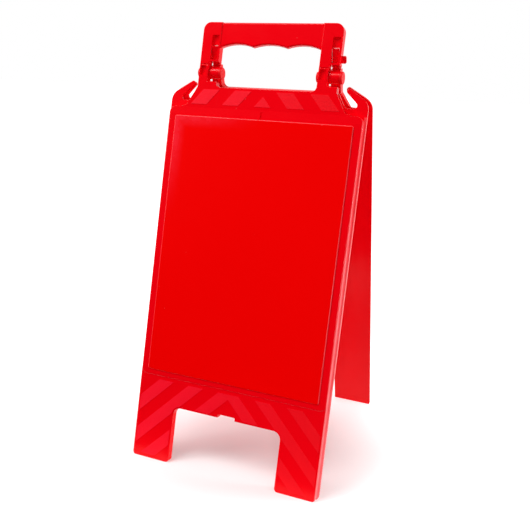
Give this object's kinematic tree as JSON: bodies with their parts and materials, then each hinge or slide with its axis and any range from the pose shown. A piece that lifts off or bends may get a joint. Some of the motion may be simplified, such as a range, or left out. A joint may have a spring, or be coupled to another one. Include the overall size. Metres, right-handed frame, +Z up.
{
  "type": "folding floor sign stand",
  "caption": "Folding A-frame floor sign stand of moulded plastic: hinged leaves with feet and framed sign plates, a carrying handle on top and hooked wings for chain or tape.",
  "frame": {"origin": "on the floor, midway between the feet of the open stand and midway across its width", "axes": "+Z up, +X to the right seen from the front, the front leaf towards -Y and the rear leaf towards +Y, the hinge axis along X"},
  "size_m": [0.3056, 0.3198, 0.6448],
  "materials": {
    "leaf_plastic": "semi-gloss injection moulding, fine grain on the raised stripes",
    "handle_plastic": "semi-gloss injection moulding",
    "plate_sheet": "smooth satin sheet",
    "pin_plastic": "satin moulding"
  },
  "bodies": {
    "front": {"front_leaf": "leaf_plastic", "handle": "handle_plastic", "front_sign_plate": "plate_sheet", "hinge_pin_left": "pin_plastic", "hinge_pin_right": "pin_plastic", "pin_cap_left": "pin_plastic", "pin_cap_right": "pin_plastic"},
    "rear": {"rear_leaf": "leaf_plastic", "rear_sign_plate": "plate_sheet"}
  },
  "joints": [
    {"name": "fold", "type": "hinge", "parent": "front", "child": "rear", "pos_m": [0, 0, 0.57247], "axis": [-1, 0, 0], "range_deg": [0, 29]}
  ]
}
